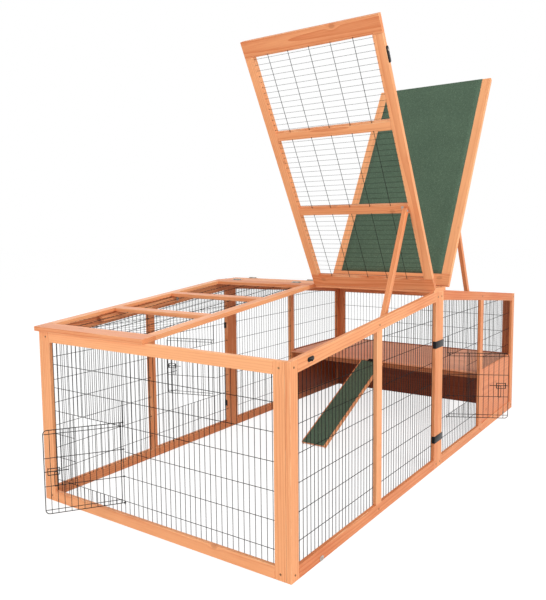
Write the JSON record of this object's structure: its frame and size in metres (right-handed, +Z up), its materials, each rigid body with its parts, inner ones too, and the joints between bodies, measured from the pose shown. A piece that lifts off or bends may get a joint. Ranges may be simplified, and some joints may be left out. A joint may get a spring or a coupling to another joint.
{
  "type": "rabbit run",
  "caption": "Long low rectangular rabbit run of pine frames and welded mesh, with hinged mesh and felted roof lids on props, wire doors, a raised platform over a shelter, and a ramp.",
  "frame": {"origin": "middle of the run's footprint at ground level, half way between the end frames and half way between the long sides", "axes": "+X along the length towards the felted half with the platform, +Y across towards the back long side, +Z up"},
  "size_m": [2.5558, 1.6323, 1.7758],
  "materials": {
    "glazed_pine": "orange-brown glaze, satin",
    "ply": "stained plywood, matt",
    "green_felt": "mineral-faced roofing felt, matt",
    "mesh_wire": "dark coated wire, satin",
    "zinc": "zinc-plated, dull",
    "black_metal": "black coated, satin"
  },
  "bodies": {
    "run": {"front_left_panel": "glazed_pine", "front_right_panel": "glazed_pine", "back_left_panel": "glazed_pine", "back_right_panel": "glazed_pine", "left_end_frame": "glazed_pine", "right_end_frame": "glazed_pine", "ridge_board": "glazed_pine", "front_left_mesh": "mesh_wire", "front_right_mesh": "mesh_wire", "back_left_mesh": "mesh_wire", "back_right_mesh": "mesh_wire", "left_end_mesh": "mesh_wire", "right_end_mesh": "mesh_wire", "platform_board": "ply", "platform_bearers": "glazed_pine", "shelter_back_wall": "ply", "shelter_front_wall": "ply", "shelter_end_wall": "ply", "frame_screws": "zinc", "panel_clips": "black_metal", "prop_rests": "glazed_pine", "latch_catches": "black_metal", "peg_eyes": "zinc", "door_hinge_rods": "mesh_wire", "ridge_hinges": "zinc", "ramp_hinge_seat": "black_metal"},
    "front_left_lid": {"front_left_lid_frame": "glazed_pine", "front_left_lid_mesh": "mesh_wire", "front_left_lid_hardware": "zinc"},
    "front_left_prop": {"front_left_prop": "glazed_pine"},
    "front_left_latch": {"front_left_latch": "black_metal"},
    "back_left_lid": {"back_left_lid_frame": "glazed_pine", "back_left_lid_mesh": "mesh_wire", "back_left_lid_hardware": "zinc"},
    "back_left_prop": {"back_left_prop": "glazed_pine"},
    "back_left_latch": {"back_left_latch": "black_metal"},
    "front_right_lid": {"front_right_lid_frame": "glazed_pine", "front_right_lid_board": "ply", "front_right_lid_felt": "green_felt", "front_right_lid_hardware": "zinc"},
    "front_right_prop": {"front_right_prop": "glazed_pine"},
    "back_right_lid": {"back_right_lid_frame": "glazed_pine", "back_right_lid_board": "ply", "back_right_lid_felt": "green_felt", "back_right_lid_hardware": "zinc"},
    "back_right_prop": {"back_right_prop": "glazed_pine"},
    "end_door": {"end_door": "mesh_wire"},
    "end_door_bolt": {"end_door_bolt": "mesh_wire"},
    "front_door": {"front_door": "mesh_wire"},
    "front_door_bolt": {"front_door_bolt": "mesh_wire"},
    "back_door": {"back_door": "mesh_wire"},
    "back_door_bolt": {"back_door_bolt": "mesh_wire"},
    "ramp": {"ramp_board": "ply", "ramp_felt": "green_felt", "ramp_strips": "glazed_pine", "ramp_hinge": "black_metal"}
  },
  "joints": [
    {"name": "front_left_lid_hinge", "type": "hinge", "parent": "run", "child": "front_left_lid", "pos_m": [-0.066, 0, 0.79562], "axis": [0, 1, 0], "range_deg": [-66.5, 0]},
    {"name": "front_left_prop_pivot", "type": "hinge", "parent": "front_left_lid", "child": "front_left_prop", "pos_m": [-0.28089, 0, 1.11441], "axis": [0, 1, 0], "range_deg": [0, 125.5]},
    {"name": "front_left_latch_pivot", "type": "hinge", "parent": "front_left_lid", "child": "front_left_latch", "pos_m": [-0.55887, -0.59, 1.66023], "axis": [0, 1, 0], "range_deg": [0, 90]},
    {"name": "back_left_lid_hinge", "type": "hinge", "parent": "run", "child": "back_left_lid", "pos_m": [-0.066, 0, 0.79562], "axis": [0, 1, 0], "range_deg": [0, 66.5]},
    {"name": "back_left_prop_pivot", "type": "hinge", "parent": "back_left_lid", "child": "back_left_prop", "pos_m": [-0.44404, 0, 0.72566], "axis": [0, 1, 0], "range_deg": [-125.5, 0]},
    {"name": "back_left_latch_pivot", "type": "hinge", "parent": "back_left_lid", "child": "back_left_latch", "pos_m": [-1.05543, 0.59, 0.68839], "axis": [0, 1, 0], "range_deg": [0, 90]},
    {"name": "front_right_lid_hinge", "type": "hinge", "parent": "run", "child": "front_right_lid", "pos_m": [0.066, 0, 0.79562], "axis": [0, 1, 0], "range_deg": [0, 66.5]},
    {"name": "front_right_prop_pivot", "type": "hinge", "parent": "front_right_lid", "child": "front_right_prop", "pos_m": [0.28089, 0, 1.11441], "axis": [0, 1, 0], "range_deg": [-125.5, 0]},
    {"name": "back_right_lid_hinge", "type": "hinge", "parent": "run", "child": "back_right_lid", "pos_m": [0.066, 0, 0.79562], "axis": [0, 1, 0], "range_deg": [-66.5, 0]},
    {"name": "back_right_prop_pivot", "type": "hinge", "parent": "back_right_lid", "child": "back_right_prop", "pos_m": [0.44404, 0, 0.72566], "axis": [0, 1, 0], "range_deg": [0, 125.5]},
    {"name": "end_door_hinge", "type": "hinge", "parent": "run", "child": "end_door", "pos_m": [-1.1528, 0.141, 0.078], "axis": [0, 0, 1], "range_deg": [-55, 0]},
    {"name": "end_door_bolt_slide", "type": "slide", "parent": "end_door", "child": "end_door_bolt", "axis": [-0.8192, 0.5736, 0], "range_m": [0, 0.015]},
    {"name": "front_door_hinge", "type": "hinge", "parent": "run", "child": "front_door", "pos_m": [0.138, -0.5678, 0.1902], "axis": [0, 0, 1], "range_deg": [0, 63]},
    {"name": "front_door_bolt_slide", "type": "slide", "parent": "front_door", "child": "front_door_bolt", "axis": [0.454, -0.891, 0], "range_m": [0, 0.015]},
    {"name": "back_door_hinge", "type": "hinge", "parent": "run", "child": "back_door", "pos_m": [-0.148, 0.5678, 0.1902], "axis": [0, 0, 1], "range_deg": [0, 74]},
    {"name": "back_door_bolt_slide", "type": "slide", "parent": "back_door", "child": "back_door_bolt", "axis": [-0.2756, 0.9613, 0], "range_m": [0, 0.015]},
    {"name": "ramp_hinge", "type": "hinge", "parent": "run", "child": "ramp", "pos_m": [0.564, 0.0215, 0.3212], "axis": [0, 1, 0], "range_deg": [0, 60]}
  ],
  "couplings": [
    {"joint": "front_left_prop_pivot", "follows": "front_left_lid_hinge", "ratio": -1.8872},
    {"joint": "back_left_prop_pivot", "follows": "back_left_lid_hinge", "ratio": -1.8872},
    {"joint": "front_right_prop_pivot", "follows": "front_right_lid_hinge", "ratio": -1.8872},
    {"joint": "back_right_prop_pivot", "follows": "back_right_lid_hinge", "ratio": -1.8872}
  ]
}
